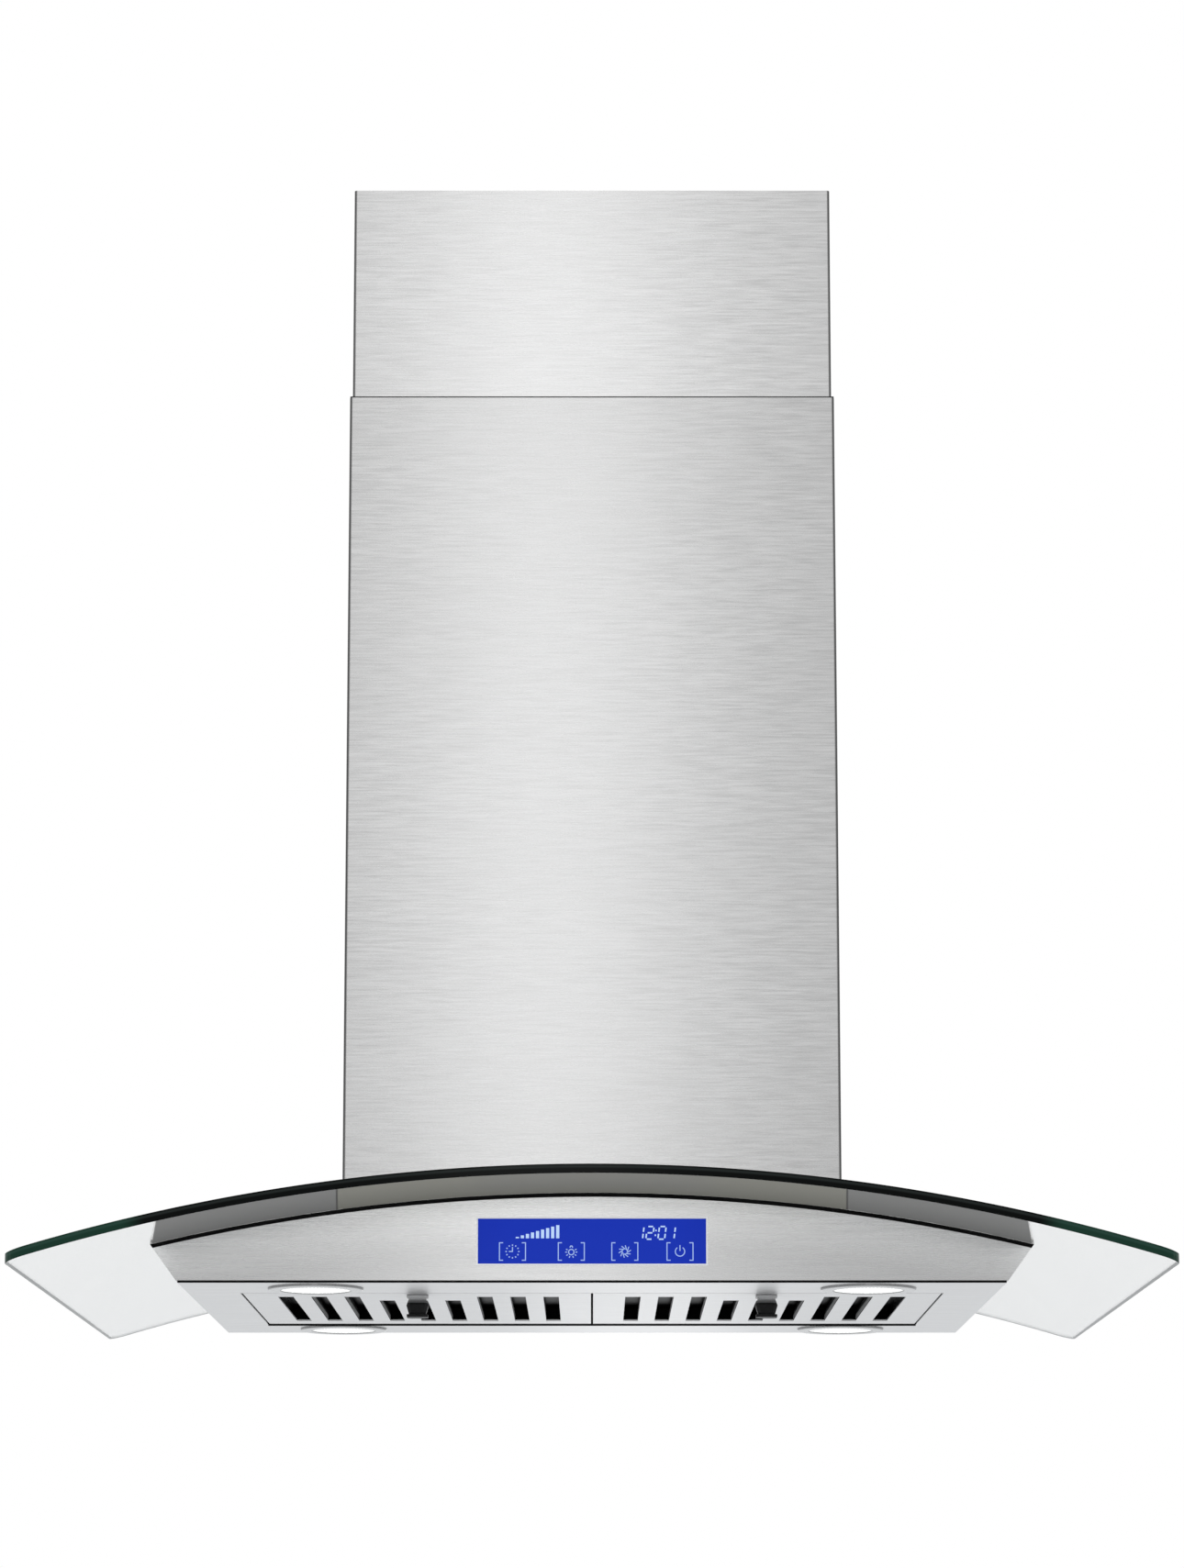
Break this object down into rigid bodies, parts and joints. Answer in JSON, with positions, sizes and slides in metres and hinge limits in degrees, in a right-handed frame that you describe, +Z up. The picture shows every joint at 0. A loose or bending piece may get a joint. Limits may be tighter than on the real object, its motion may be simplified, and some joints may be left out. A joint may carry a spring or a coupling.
{
  "type": "island range hood",
  "caption": "Island range hood with a telescopic steel chimney, an arched glass canopy, a slim steel body with a touch display, baffle filters and downlights, hung from the ceiling.",
  "frame": {"origin": "centre of the ceiling plate's top face, where the hood meets the ceiling", "axes": "+Z up, +X to the right seen from the front, +Y to the back"},
  "size_m": [0.75, 0.6, 0.7923],
  "materials": {
    "brushed_stainless": "horizontally brushed stainless steel",
    "galvanised_steel": "galvanised sheet",
    "canopy_glass": "clear tempered glass, polished edge",
    "black_rubber": "matt black seal",
    "zinc_screws": "zinc plated",
    "black_plastic": "moulded black plastic",
    "motor_paint": "dark grey enamel",
    "fan_aluminium": "pressed aluminium",
    "lamp_chrome": "satin chrome",
    "lamp_lens": "frosted lens, lit",
    "display_blue": "blue display pane, lit",
    "circuit_board": "green solder mask",
    "latch_black": "black plastic with a satin top"
  },
  "bodies": {
    "hood": {"ceiling_plate": "galvanised_steel", "upper_angles": "galvanised_steel", "lower_angles": "galvanised_steel", "frame_bolts": "zinc_screws", "leg_screws": "zinc_screws", "lower_chimney": "brushed_stainless", "chimney_brackets": "galvanised_steel", "air_box_front": "galvanised_steel", "air_box_rear": "galvanised_steel", "air_box_left": "galvanised_steel", "air_box_right": "galvanised_steel", "air_box_top": "galvanised_steel", "blower_housing": "galvanised_steel", "inlet_rings": "black_plastic", "motor": "motor_paint", "motor_bracket": "galvanised_steel", "outlet_adapter": "galvanised_steel", "duct_collar": "black_plastic", "collar_flange": "black_plastic", "damper_pins": "zinc_screws", "cord_gland": "black_plastic", "glass_canopy": "canopy_glass", "glass_gasket": "black_rubber", "clamp_pads": "black_rubber", "glass_clamps": "galvanised_steel", "clamp_screws": "zinc_screws", "roof_plate": "brushed_stainless", "front_panel": "brushed_stainless", "rear_panel": "brushed_stainless", "side_panel_left": "brushed_stainless", "side_panel_right": "brushed_stainless", "bottom_panel": "brushed_stainless", "lamp_bezels": "lamp_chrome", "lamp_lenses": "lamp_lens", "lamp_cans": "fan_aluminium", "display": "display_blue", "control_board": "circuit_board", "power_box": "black_plastic", "power_box_lid": "black_plastic", "capacitor": "motor_paint"},
    "upper_chimney": {"upper_chimney": "brushed_stainless", "chimney_screws": "zinc_screws"},
    "fan_wheel": {"impeller": "fan_aluminium", "motor_shaft": "zinc_screws", "fan_nut": "zinc_screws"},
    "damper_left": {"damper_flap_left": "black_plastic"},
    "damper_right": {"damper_flap_right": "black_plastic"},
    "filter_left": {"filter_frame_left": "brushed_stainless", "lower_baffles_left": "brushed_stainless", "upper_baffles_left": "brushed_stainless", "latch_spring_left": "zinc_screws"},
    "latch_left": {"latch_left": "latch_black"},
    "filter_right": {"filter_frame_right": "brushed_stainless", "lower_baffles_right": "brushed_stainless", "upper_baffles_right": "brushed_stainless", "latch_spring_right": "zinc_screws"},
    "latch_right": {"latch_right": "latch_black"}
  },
  "joints": [
    {"name": "chimney_slide", "type": "slide", "parent": "hood", "child": "upper_chimney", "axis": [0, 0, 1], "range_m": [-0.15, 0]},
    {"name": "fan_spin", "type": "hinge", "parent": "hood", "child": "fan_wheel", "pos_m": [0, 0, -0.5917], "axis": [1, 0, 0], "continuous": true},
    {"name": "damper_left_swing", "type": "hinge", "parent": "hood", "child": "damper_left", "pos_m": [-0.005, 0, -0.4084], "axis": [0, 1, 0], "range_deg": [0, 80]},
    {"name": "damper_right_swing", "type": "hinge", "parent": "hood", "child": "damper_right", "pos_m": [0.005, 0, -0.4084], "axis": [0, -1, 0], "range_deg": [0, 80]},
    {"name": "filter_left_swing", "type": "hinge", "parent": "hood", "child": "filter_left", "pos_m": [-0.11887, 0.121, -0.7742], "axis": [1, 0, 0], "range_deg": [0, 60]},
    {"name": "latch_left_slide", "type": "slide", "parent": "filter_left", "child": "latch_left", "axis": [0, 1, 0], "range_m": [0, 0.006], "stiffness_N_per_m": 300, "springref_m": -0.004, "deforming": ["latch_spring_left"]},
    {"name": "filter_right_swing", "type": "hinge", "parent": "hood", "child": "filter_right", "pos_m": [0.11887, 0.121, -0.7742], "axis": [1, 0, 0], "range_deg": [0, 60]},
    {"name": "latch_right_slide", "type": "slide", "parent": "filter_right", "child": "latch_right", "axis": [0, 1, 0], "range_m": [0, 0.006], "stiffness_N_per_m": 300, "springref_m": -0.004, "deforming": ["latch_spring_right"]}
  ]
}
